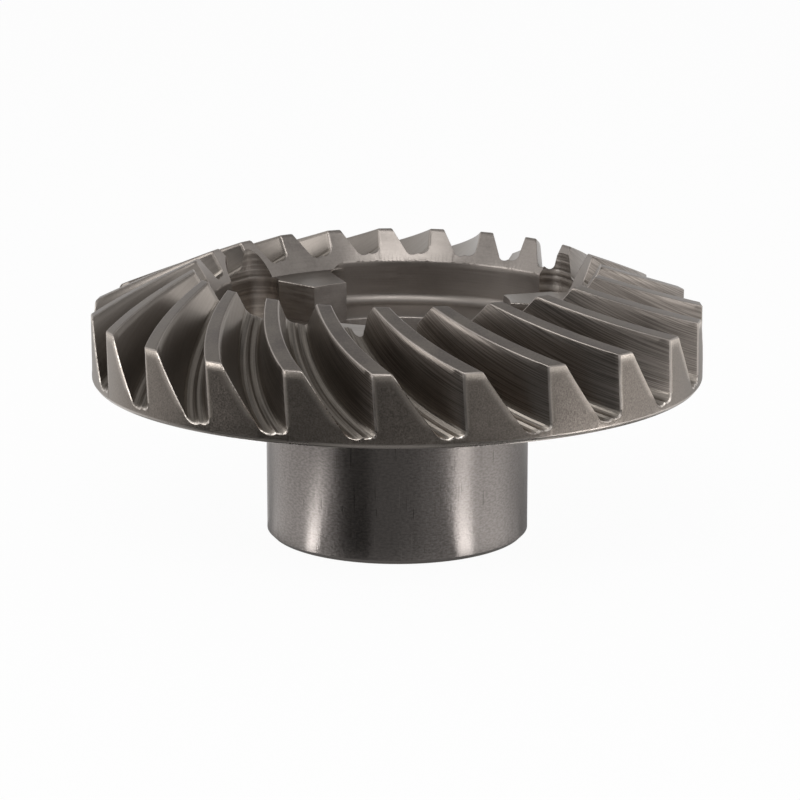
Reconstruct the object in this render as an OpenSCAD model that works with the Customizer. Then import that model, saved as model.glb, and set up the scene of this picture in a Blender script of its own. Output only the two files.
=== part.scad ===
// Reverse gear: a spiral bevel gear with a plain journal hub and three clutch dogs in a dished centre.
// The gear stands on the end of its hub, the axis is Z and the teeth face up.

/* [Hub] */
// Diameter of the ground bearing journal
hub_d = 35; // [33:0.5:40]
// Length of the journal, from its end face to the underside of the rim
hub_len = 21.4; // [12:0.2:40]
// Diameter of the through bore
bore_d = 30; // [18:0.5:31]
// Chamfer at the end of the journal
hub_chamfer = 0.6; // [0.2:0.1:1]
// Chamfer at both mouths of the bore
bore_chamfer = 0.3; // [0.1:0.1:0.6]

/* [Gear blank] */
// Outer diameter of the rim, at the heel of the teeth
outer_d = 81; // [78:0.5:88]
// Height of the tooth tips above the underside of the rim, at the heel
heel_h = 9.3; // [8:0.1:11]
// Slope of the tooth tips, which rise towards the axis
face_slope = 22; // [18:0.5:26]
// Diameter of the circle through the tooth tips at the toe
toe_d = 53.8; // [50:0.2:58]
// Lean of the toe ends of the teeth from the vertical
toe_lean = 30.7; // [20:0.5:40]
// Height of the chamfer round the lower edge of the rim
rim_chamfer_h = 0.55; // [0.2:0.05:0.7]
// Width of the chamfer round the lower edge of the rim
rim_chamfer_w = 0.4; // [0.2:0.05:1]

/* [Teeth] */
// Number of teeth
teeth = 23; // [19:1:25]
// Direction of the first tooth gap
gap_angle = 2.9; // [0:0.1:15]
// Mean radius of the face mill that cuts each gap
cutter_r = 36.7; // [34:0.1:46]
// Spiral angle of a gap at the mean radius of the face
spiral_angle = 37.7; // [32:0.1:41]
// Gear radius at which the spiral angle is measured
spiral_r = 33.6; // [31:0.2:36]
// Width of a gap at its root
point_w = 2.36; // [2.2:0.02:2.7]
// Flank angle cut by the inside of the mill, on the convex side of a tooth
inside_angle = 25.6; // [20:0.1:28]
// Flank angle cut by the outside of the mill, on the concave side of a tooth
outside_angle = 7.2; // [4:0.1:12]
// Tip radius of the mill, which leaves two shallow grooves in each root
tip_r = 0.9; // [0.75:0.05:1]
// How far the mill's tips stand proud of its flanks, so that they undercut the foot of a tooth
tip_relief = 0.03; // [0.02:0.01:0.08]
// Slope of the roots, which rise towards the axis
root_slope = 33.85; // [32:0.05:36]
// Height of the roots above the underside of the rim, at the heel
heel_root_h = 0.72; // [0.6:0.02:2]

/* [Clutch dogs] */
// Number of dogs
dogs = 3; // [2:1:4]
// Direction of the back face of the first dog
dog_angle = 138.5; // [0:0.5:360]
// Angle between the back face and the drive face of a dog
dog_span = 31.5; // [26:0.5:40]
// Distance of the drive face from a parallel plane through the axis
drive_offset = 2.75; // [1:0.05:4]
// Height of the dished floor above the underside of the rim
floor_h = 4.7; // [3:0.1:6]
// Height of the dogs above the floor
dog_h = 5.1; // [3:0.1:6]
// Diameter of the dished recess between the dogs
recess_d = 48.8; // [46:0.2:50]
// Fillet between the recess wall and the floor
floor_fillet = 0.8; // [0.3:0.1:2]
// Radius of the end mill that cuts the recess corners and pockets
mill_r = 2.5; // [2:0.1:3]
// How far the relief pocket behind each dog goes beyond the recess wall
pocket_depth = 1.9; // [0.5:0.1:2.4]
// Angle from the back face of a dog to the first centre of the end mill
pocket_lead = 3.4; // [0:0.1:6]
// Angle through which the end mill sweeps to open the pocket
pocket_sweep = 9.3; // [2:0.1:20]
// Depth of the pocket's floor below the dished floor
pocket_sink = 0.1; // [0.05:0.05:0.5]

/* [Hidden] */
$fn = 144;

hub_r = hub_d / 2;
bore_r = bore_d / 2;
outer_r = outer_d / 2;
toe_r = toe_d / 2;
recess_r = recess_d / 2;

rim_z = hub_len;
heel_z = rim_z + heel_h;
toe_z = heel_z + (outer_r - toe_r) * tan(face_slope);
floor_z = rim_z + floor_h;
dog_z = floor_z + dog_h;
dog_outer_r = toe_r - (toe_z - dog_z) * tan(toe_lean);

// A cut passes every face that it opens by this much
through = 1;
// The pocket's arc stops this far short of the end mill's edge, so that the mill's circles cross it
sweep_relief = 0.03;

// The mill's tip plane touches the root cone along one line, and its apex lies on the axis
root_apex_z = rim_z + heel_root_h + outer_r * tan(root_slope);
mean_reach = spiral_r / cos(root_slope);
mill_x = mean_reach - cutter_r * sin(spiral_angle);
mill_y = cutter_r * cos(spiral_angle);
// The mill stands taller than the deepest tooth, and its arc reaches past heel and toe
mill_h = heel_h;
mill_arc = 64;

// Middle of the tip radius that blends into a flank of the given angle, from the middle of the gap
function tip_middle(flank) = point_w / 2 + tip_relief - tip_r * (1 - sin(flank)) / cos(flank);

// Half of the gap's width at a height above the root
function flank_at(flank, h) = point_w / 2 + h * tan(flank);

// Section through the mill's cutting edge, upright, with x measured from the mill's axis
module mill_section() {
    inside_middle = cutter_r - tip_middle(inside_angle);
    outside_middle = cutter_r + tip_middle(outside_angle);
    inside_h = tip_r * (1 - sin(inside_angle));
    outside_h = tip_r * (1 - sin(outside_angle));
    for (middle = [inside_middle, outside_middle])
        translate([middle, tip_r]) circle(tip_r);
    polygon([
        [inside_middle, tip_r],
        [cutter_r - flank_at(inside_angle, inside_h), inside_h],
        [cutter_r - flank_at(inside_angle, mill_h), mill_h],
        [cutter_r + flank_at(outside_angle, mill_h), mill_h],
        [cutter_r + flank_at(outside_angle, outside_h), outside_h],
        [outside_middle, tip_r]
    ]);
}

// Space swept by the mill in one tooth gap
module tooth_gap() {
    translate([0, 0, root_apex_z])
        rotate([0, root_slope, 0])
            translate([mill_x, mill_y, 0])
                rotate([0, 0, spiral_angle - 90 - mill_arc / 2])
                    rotate_extrude(angle = mill_arc) mill_section();
}

// The turned blank before any tooth or dog is cut
module blank() {
    rotate_extrude()
        polygon([
            [bore_r + bore_chamfer, 0],
            [hub_r - hub_chamfer, 0],
            [hub_r, hub_chamfer],
            [hub_r, rim_z],
            [outer_r - rim_chamfer_w, rim_z],
            [outer_r, rim_z + rim_chamfer_h],
            [outer_r, heel_z],
            [toe_r, toe_z],
            [dog_outer_r, dog_z],
            [bore_r, dog_z],
            [bore_r, bore_chamfer]
        ]);
}

// Round recess down to the floor, with the fillet at its foot and the chamfer at the bore's mouth
module recess_turning() {
    rotate_extrude() {
        square_h = toe_z - floor_z + through;
        translate([0, floor_z]) square([recess_r - floor_fillet, square_h]);
        translate([0, floor_z + floor_fillet]) square([recess_r, square_h - floor_fillet]);
        translate([recess_r - floor_fillet, floor_z + floor_fillet]) circle(floor_fillet);
        polygon([
            [0, floor_z],
            [bore_r + bore_chamfer, floor_z],
            [bore_r - through, floor_z - bore_chamfer - through],
            [0, floor_z - bore_chamfer - through]
        ]);
    }
}

// Plan of the space between one dog's drive face and the next dog's back face.
// The drive face lies along x, and the space is on the side of negative y.
module space_plan() {
    reach = outer_r;
    back = dog_span - 360 / dogs;
    corner_y = drive_offset - mill_r;
    corner_x = sqrt(pow(recess_r - mill_r, 2) - pow(corner_y, 2));
    difference() {
        polygon([
            [0, 0],
            [0, drive_offset],
            [reach, drive_offset],
            [reach, -reach],
            [reach * cos(back), reach * sin(back)]
        ]);
        difference() {
            polygon([
                [corner_x, corner_y],
                [corner_x, drive_offset],
                [reach, drive_offset],
                [reach, reach * corner_y / corner_x]
            ]);
            translate([corner_x, corner_y]) circle(mill_r);
        }
    }
}

// Plan of the end mill's overrun behind a dog whose back face lies along x
module pocket_plan() {
    path_r = recess_r + pocket_depth - mill_r;
    ends = [pocket_lead, pocket_lead + pocket_sweep];
    for (a = ends)
        rotate(a) translate([path_r, 0]) circle(mill_r);
    intersection() {
        difference() {
            circle(path_r + mill_r - sweep_relief);
            circle(path_r - mill_r + sweep_relief);
        }
        polygon([[0, 0], for (a = ends) outer_r * [cos(a), sin(a)]]);
    }
}

// Everything that the end mill clears round one dog
module dog_space() {
    intersection() {
        recess_turning();
        translate([0, 0, rim_z])
            linear_extrude(toe_z - rim_z + 2 * through)
                rotate(-dog_span) space_plan();
    }
    translate([0, 0, floor_z - pocket_sink])
        linear_extrude(toe_z - floor_z + pocket_sink + through)
            pocket_plan();
}

// The blank with the spaces between the dogs milled out, one after another
module dished_blank(count) {
    if (count == 0)
        blank();
    else
        difference() {
            dished_blank(count - 1);
            rotate(dog_angle + count * 360 / dogs) dog_space();
        }
}

// The dished blank with its tooth gaps milled, one after another
module toothed_blank(count) {
    if (count == 0)
        dished_blank(dogs);
    else
        difference() {
            toothed_blank(count - 1);
            rotate(gap_angle + count * 360 / teeth) tooth_gap();
        }
}

module reverse_gear() {
    color("dimgray") toothed_blank(teeth);
}

reverse_gear();
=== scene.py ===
"""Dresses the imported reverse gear: milled spiral teeth, a dished centre with clutch dogs and a ground journal.

Lengths are in millimetres and angles in degrees until a mesh is written, where lengths become metres.
"""

import logging
import math
from dataclasses import dataclass, field
from enum import Enum
from typing import Any

import bmesh
import bpy
import numpy as np
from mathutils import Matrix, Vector


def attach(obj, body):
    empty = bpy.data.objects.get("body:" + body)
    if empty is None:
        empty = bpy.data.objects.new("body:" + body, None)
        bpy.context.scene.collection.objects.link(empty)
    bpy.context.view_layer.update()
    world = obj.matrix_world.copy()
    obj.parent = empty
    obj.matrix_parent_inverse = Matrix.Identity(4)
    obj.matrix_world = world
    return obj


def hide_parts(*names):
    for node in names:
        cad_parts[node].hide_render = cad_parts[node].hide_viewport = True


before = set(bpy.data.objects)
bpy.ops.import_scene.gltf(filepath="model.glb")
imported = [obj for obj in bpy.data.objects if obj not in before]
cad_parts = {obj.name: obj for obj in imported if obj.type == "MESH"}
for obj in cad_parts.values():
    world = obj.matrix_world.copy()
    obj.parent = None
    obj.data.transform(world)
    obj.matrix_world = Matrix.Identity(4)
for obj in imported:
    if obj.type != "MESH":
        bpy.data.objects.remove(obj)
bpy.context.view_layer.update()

Array = np.ndarray
Socket = bpy.types.NodeSocket
Tree = bpy.types.NodeTree

LOG = logging.getLogger("reverse_gear")
MM = 0.001
NODE = "reverse_gear"
MARKS = "tool_marks"
OUTLINE = "outline_mm"
# How fast the brushed band of a heel ends below the foot of its flanks.
BAND_FADE = 3.0
# Angles this close to a full pitch are the next tooth's edge, in radians.
SEAM = 0.01
# A face whose normal rises less than this counts as an upright one.
STEEP = 0.5
# Spacing of the tool marks' patterns from gap to gap, and the gaps tried to each side of the nearest.
GAP_STEP = 40.0
GAPS_TRIED = 2
# A distance past any in the gear.
FAR = 1e9
# The solver of the tooth surfaces: its first guess, its rounds, its test step and its longest steps.
FIRST_TURN, TURN_SPAN, FIRST_RISE = 0.3, 0.62, 6.0
ROUNDS, TEST_STEP = 25, 1e-6
LONGEST_TURN, LONGEST_RISE = 0.1, 2.0
# Nearly all values of Blender's noise lie between these.
NOISE_LOW, NOISE_HIGH = 0.35, 0.65
# How many finer noises are added to each kind of noise.
GRIT_DETAIL, CLOUD_DETAIL, MARKS_DETAIL, SCRATCH_DETAIL = 3.0, 2.0, 4.0, 1.0
# A quarter turn of the gloss: lines that go round the axis draw it out up and down.
LINES_ROUND = 0.25


class Surface(Enum):
    """The gear's machined surfaces, in the order of its material slots."""

    LAND = 0
    CONVEX = 1
    ROOT = 2
    HEEL = 3
    TOE = 4
    EDGE = 5
    RIM = 6
    JOURNAL = 7
    BORE = 8
    DISH = 9
    DOG = 10
    POCKET = 11
    BREAK = 12
    CHAMFER = 13
    CONCAVE = 14


class Side(Enum):
    """The two flanks of a tooth gap, by the side of the face mill that cuts them."""

    INSIDE = 1
    OUTSIDE = -1


def linear(colour: str) -> tuple[float, float, float, float]:
    """Turns an sRGB hex colour into linear light.

    Args:
        colour: The colour as "#rrggbb".

    Returns:
        Linear red, green, blue and an alpha of 1.
    """
    # The numbers are those of the sRGB standard.
    parts = [int(colour[i:i + 2], 16) / 255 for i in (1, 3, 5)]
    light = [p / 12.92 if p <= 0.04045 else ((p + 0.055) / 1.055) ** 2.4 for p in parts]
    return (light[0], light[1], light[2], 1.0)


def node(tree: Tree, kind: str, sockets: dict[Any, Any] | None = None, **settings: Any) -> bpy.types.Node:
    """Adds a shader node, with its settings, constants and links.

    Args:
        tree: The node tree that gets the node.
        kind: Blender's name of the node type.
        sockets: Input name or number to a constant, or to the output socket that is linked to it.
        **settings: Properties of the node itself.

    Returns:
        The new node.
    """
    made = tree.nodes.new(kind)
    for name, value in settings.items():
        setattr(made, name, value)
    for key, value in (sockets or {}).items():
        if isinstance(value, Socket):
            tree.links.new(value, made.inputs[key])
        else:
            made.inputs[key].default_value = value
    return made


def maths(tree: Tree, operation: str, *values: Any) -> Socket:
    """Adds a sum, a product or the like of the values."""
    return node(tree, "ShaderNodeMath", dict(enumerate(values)), operation=operation).outputs[0]


def ranged(tree: Tree, value: Socket, source: tuple[float, float], target: tuple[float, float],
           **settings: Any) -> Socket:
    """Adds a node that carries a value from one range over to another.

    Args:
        tree: The material's nodes.
        value: The value.
        source: The ends of the range that it comes from.
        target: The ends of the range that it goes to.
        **settings: Settings of the node.

    Returns:
        The new value.
    """
    ends = {"From Min": source[0], "From Max": source[1], "To Min": target[0], "To Max": target[1]}
    return node(tree, "ShaderNodeMapRange", {"Value": value, **ends}, **settings).outputs[0]


def grain(tree: Tree, place: Socket, scale: float, detail: float, dimensions: str = "3D") -> Socket:
    """Adds a noise."""
    sockets = {"Vector": place, "Scale": scale, "Detail": detail}
    return node(tree, "ShaderNodeTexNoise", sockets, noise_dimensions=dimensions).outputs[0]


def tool_lines(tree: Tree, size_mm: tuple[float, float], detail: float) -> Socket:
    """Adds a noise that is drawn out along the tool's way or across it.

    Args:
        tree: The material's nodes.
        size_mm: Size of the noise along the tool's way and across it.
        detail: How many finer noises are added.

    Returns:
        The noise.
    """
    along = node(tree, "ShaderNodeUVMap", uv_map=MARKS)
    scale = (1 / size_mm[0], 1 / size_mm[1], 1.0)
    drawn = node(tree, "ShaderNodeVectorMath", {0: along.outputs[0], 1: scale}, operation="MULTIPLY")
    return grain(tree, drawn.outputs[0], 1.0, detail, "2D")


def empty_material(name: str) -> bpy.types.Material:
    """Makes a material that has no nodes yet.

    Args:
        name: The material's name.

    Returns:
        The material.
    """
    made = bpy.data.materials.new(name)
    made.use_nodes = True
    made.node_tree.nodes.clear()
    return made


def heading(azimuth: float, elevation: float) -> Vector:
    """Gives the direction of a place round the gear, from the camera's side towards its right and upwards."""
    around, up = math.radians(azimuth), math.radians(elevation)
    return Vector((math.sin(around) * math.cos(up), -math.cos(around) * math.cos(up), math.sin(up)))


def polar(points: Array) -> tuple[Array, Array, Array]:
    """Gives the radius, the angle in radians and the height of points about the gear's axis."""
    return np.hypot(points[..., 0], points[..., 1]), np.arctan2(points[..., 1], points[..., 0]), points[..., 2]


def upright(radius: Any, angle: Any, height: Any) -> Array:
    """Gives points from a radius, an angle in radians and a height about the gear's axis."""
    radius, angle, height = np.broadcast_arrays(radius, angle, height)
    return np.stack([radius * np.cos(angle), radius * np.sin(angle), height], axis=-1).astype(float)


def turned(points: Array, angles: Array) -> Array:
    """Copies points round the gear's axis.

    Args:
        points: Points of any shape that ends in 3.
        angles: The angle of each copy, in radians.

    Returns:
        The copies, with the angles as the first axis.
    """
    cos, sin = (f(angles).reshape((-1,) + (1,) * (points.ndim - 1)) for f in (np.cos, np.sin))
    x, y, z = points[..., 0], points[..., 1], points[..., 2]
    return np.stack([x * cos - y * sin, x * sin + y * cos, np.broadcast_to(z, (x * cos).shape)], axis=-1)


def closed(ids: Array) -> Array:
    """Repeats the first entry of a ring at its end."""
    return np.append(ids, ids[:1])


def gathered(items: Any, name: str, width: int = 1, kind: type = float) -> Array:
    """Reads one property of all points, corners or faces of a mesh.

    Args:
        items: The mesh's points, corners or faces.
        name: The property.
        width: How many numbers it has.
        kind: The type of those numbers.

    Returns:
        A row for each item, or a single number for each where the width is 1.
    """
    values = np.empty(len(items) * width, kind)
    items.foreach_get(name, values)
    return values.reshape(-1, width) if width > 1 else values


@dataclass(frozen=True)
class Blank:
    """Sizes of the turned blank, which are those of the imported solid."""

    hub_r: float = 17.5
    hub_chamfer: float = 0.6
    bore_r: float = 15.0
    bore_chamfer: float = 0.3
    rim_z: float = 21.4
    rim_chamfer_w: float = 0.4
    rim_chamfer_h: float = 0.55
    outer_r: float = 40.5
    heel_z: float = 30.7
    face_slope: float = 22.0
    toe_r: float = 26.9
    toe_lean: float = 30.7
    floor_z: float = 26.1
    dog_z: float = 31.2
    teeth: int = 23
    gap_angle: float = 2.9

    @property
    def toe_z(self) -> float:
        """Height of the tooth tips at the toe."""
        return self.heel_z + (self.outer_r - self.toe_r) * math.tan(math.radians(self.face_slope))

    @property
    def dog_outer_r(self) -> float:
        """Radius at which the toe cone comes down to the tops of the dogs."""
        return self.toe_r - (self.toe_z - self.dog_z) * math.tan(math.radians(self.toe_lean))

    @property
    def pitch(self) -> float:
        """Angle from one tooth to the next, in radians."""
        return 2 * math.pi / self.teeth

    def gap_angles(self) -> Array:
        """Directions of all tooth gaps, in radians."""
        return math.radians(self.gap_angle) + self.pitch * np.arange(self.teeth)

    def below_face(self, points: Array) -> Array:
        """Measures how deep points lie below the cone of the tooth tips.

        Args:
            points: Points on or in the gear.

        Returns:
            The depth of each point, square to the cone.
        """
        radius, _, height = polar(points)
        slope = math.radians(self.face_slope)
        return (self.heel_z + (self.outer_r - radius) * math.tan(slope) - height) * math.cos(slope)

    def inside_heel(self, points: Array) -> Array:
        """Depth of points inside the cylinder of the heel."""
        return self.outer_r - polar(points)[0]

    def outside_toe(self, points: Array) -> Array:
        """Measures how deep points lie behind the cone of the toe.

        Args:
            points: Points on or in the gear.

        Returns:
            The depth of each point, square to the cone.
        """
        radius, _, height = polar(points)
        lean = math.radians(self.toe_lean)
        return (radius - self.toe_r + (self.toe_z - height) * math.tan(lean)) * math.cos(lean)


@dataclass(frozen=True)
class FaceMill:
    """The face mill that cuts each tooth gap: its edge sweeps a circle that touches the root cone."""

    blank: Blank
    radius: float = 36.7
    spiral: float = 37.7
    spiral_r: float = 33.6
    point_w: float = 2.36
    flank_angles: tuple[float, float] = (25.6, 7.2)
    tip_r: float = 0.9
    tip_relief: float = 0.03
    root_slope: float = 33.85
    heel_root_h: float = 0.72
    ridge_w: float = 0.04
    arc_points: int = 7

    def angle(self, side: Side) -> float:
        """Flank angle that a side of the mill cuts, in radians."""
        return math.radians(self.flank_angles[0 if side is Side.INSIDE else 1])

    def tip_start(self, side: Side) -> float:
        """Angle on the tip radius at which it cuts under the flank, in radians."""
        angle = self.angle(side)
        return angle - math.acos(1 - self.tip_relief * math.cos(angle) / self.tip_r)

    def foot_h(self, side: Side) -> float:
        """Height at which the tip radius cuts under the flank."""
        return self.tip_r * (1 - math.sin(self.tip_start(side)))

    def offset(self, side: Side, height: Array) -> Array:
        """Distance of a flank from the mill's mean circle, positive towards the mill's axis."""
        return side.value * (self.point_w / 2 + height * math.tan(self.angle(side)))

    def _setting(self) -> tuple[float, float, float, float]:
        """Says how the mill is set to the blank.

        Returns:
            The root's slope and the spiral angle in radians, the reach down the root cone and the cone's height.
        """
        slope = math.radians(self.root_slope)
        apex_z = self.blank.rim_z + self.heel_root_h + self.blank.outer_r * math.tan(slope)
        return slope, math.radians(self.spiral), self.spiral_r / math.cos(slope), apex_z

    def place(self, offset: Array, height: Array, turn: Array) -> Array:
        """Puts points of the mill's edge where they cut the gear, for a gap in the direction of X.

        Args:
            offset: Distance from the mill's mean circle, towards its axis.
            height: Height above the mill's tip plane.
            turn: Angle of the mill in radians, positive towards the heel.

        Returns:
            The points on the gear.
        """
        slope, spiral, reach, apex_z = self._setting()
        arm, angle = self.radius - offset, spiral - math.pi / 2 + turn
        x = reach - self.radius * math.sin(spiral) + arm * np.cos(angle)
        y = self.radius * math.cos(spiral) + arm * np.sin(angle)
        return np.stack([
            x * math.cos(slope) + height * math.sin(slope),
            y + 0 * height,
            apex_z - x * math.sin(slope) + height * math.cos(slope),
        ], axis=-1)

    def find(self, points: Array) -> tuple[Array, Array, Array]:
        """Undoes place for points near a gap in the direction of X.

        Args:
            points: Points on the gear.

        Returns:
            The offset, the height and the turn of the mill's edge at those points.
        """
        slope, spiral, reach, apex_z = self._setting()
        z = points[..., 2] - apex_z
        x = points[..., 0] * math.cos(slope) - z * math.sin(slope)
        height = points[..., 0] * math.sin(slope) + z * math.cos(slope)
        x = x - reach + self.radius * math.sin(spiral)
        y = points[..., 1] - self.radius * math.cos(spiral)
        return self.radius - np.hypot(x, y), height, np.arctan2(y, x) - spiral + math.pi / 2

    def root_section(self) -> Array:
        """Gives the section of the root, two shallow grooves with a low ridge between them.

        Returns:
            Offsets and heights from the inside flank's foot to the outside flank's foot.
        """
        half = self.point_w / 2
        middles = [
            half + self.tip_relief - self.tip_r * (1 - math.sin(a)) / math.cos(a)
            for a in (self.angle(Side.INSIDE), self.angle(Side.OUTSIDE))
        ]
        ridge = (middles[0] - middles[1]) / 2
        arcs = []
        for side, middle in zip(Side, middles):
            x = side.value * ridge
            end = math.acos((x + self.ridge_w / 2 - middle) / self.tip_r)
            turns = np.linspace(self.tip_start(side), end, self.arc_points)
            arc = np.stack([
                side.value * (middle + self.tip_r * np.cos(turns)),
                self.tip_r * (1 - np.sin(turns)),
            ], axis=-1)
            arcs.append(arc if side is Side.INSIDE else arc[::-1])
        return np.concatenate(arcs)


class Shell:
    """Points and faces of one closed body, gathered sheet by sheet."""

    def __init__(self) -> None:
        """Starts with no points."""
        self.points: list[Array] = []
        self.faces: list[tuple[int, ...]] = []
        self.surfaces: list[int] = []
        self.count = 0

    def add(self, points: Array) -> Array:
        """Adds points.

        Args:
            points: Points of any shape that ends in 3.

        Returns:
            Their numbers, in the same shape.
        """
        flat = points.reshape(-1, 3)
        self.points.append(flat)
        ids = np.arange(self.count, self.count + len(flat)).reshape(points.shape[:-1])
        self.count += len(flat)
        return ids

    def polygons(self, corners: list[Array], surface: Surface) -> None:
        """Adds one face for each set of matching corners.

        Args:
            corners: The numbers of the faces' first corners, of their second corners and so on.
            surface: The surface that the faces belong to.
        """
        rows = np.stack([c.reshape(-1) for c in corners], axis=-1)
        self.faces += [tuple(r) for r in rows.tolist()]
        self.surfaces += [surface.value] * len(rows)

    def sheet(self, ids: Array, surface: Surface) -> None:
        """Covers a grid of points, which are its last two axes, with faces."""
        self.polygons([ids[..., :-1, :-1], ids[..., 1:, :-1], ids[..., 1:, 1:], ids[..., :-1, 1:]], surface)

    def strip(self, first: Array, second: Array, surface: Surface) -> None:
        """Covers the strip between two rows of points."""
        self.sheet(np.stack([first, second], axis=-2), surface)

    def join_rings(self, first: tuple[Array, Array], second: tuple[Array, Array], surface: Surface) -> None:
        """Covers the strip between two rings whose points stand at different angles.

        Args:
            first: Point numbers and rising angles of one ring.
            second: The same of the other ring.
            surface: The surface that the faces belong to.
        """
        angles = [np.append(a, a[0] + 2 * math.pi) for _, a in (first, second)]
        start = int(np.argmin(np.abs((angles[1][:-1] - angles[0][0] + math.pi) % (2 * math.pi) - math.pi)))
        ids = [closed(first[0]), closed(np.roll(second[0], -start))]
        turned_on = np.roll(second[1], -start)
        turned_on = angles[0][0] + (turned_on - angles[0][0] + math.pi) % (2 * math.pi) - math.pi
        angles[1] = np.append(np.unwrap(turned_on), turned_on[0] + 2 * math.pi)
        i = j = 0
        while i < len(ids[0]) - 1 or j < len(ids[1]) - 1:
            step = j == len(ids[1]) - 1 or (i < len(ids[0]) - 1 and angles[0][i + 1] <= angles[1][j + 1])
            third = ids[0][i + 1] if step else ids[1][j + 1]
            self.faces.append((int(ids[0][i]), int(ids[1][j]), int(third)))
            self.surfaces.append(surface.value)
            i, j = (i + 1, j) if step else (i, j + 1)

    def mesh(self, name: str) -> bpy.types.Mesh:
        """Writes the body as a mesh in metres, with its faces turned outwards.

        Args:
            name: The mesh's name.

        Returns:
            The mesh.
        """
        mesh = bpy.data.meshes.new(name)
        mesh.from_pydata((np.concatenate(self.points) * MM).tolist(), [], self.faces)
        mesh.polygons.foreach_set("material_index", self.surfaces)
        work = bmesh.new()
        work.from_mesh(mesh)
        bmesh.ops.recalc_face_normals(work, faces=work.faces)
        work.to_mesh(mesh)
        work.free()
        return mesh


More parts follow.
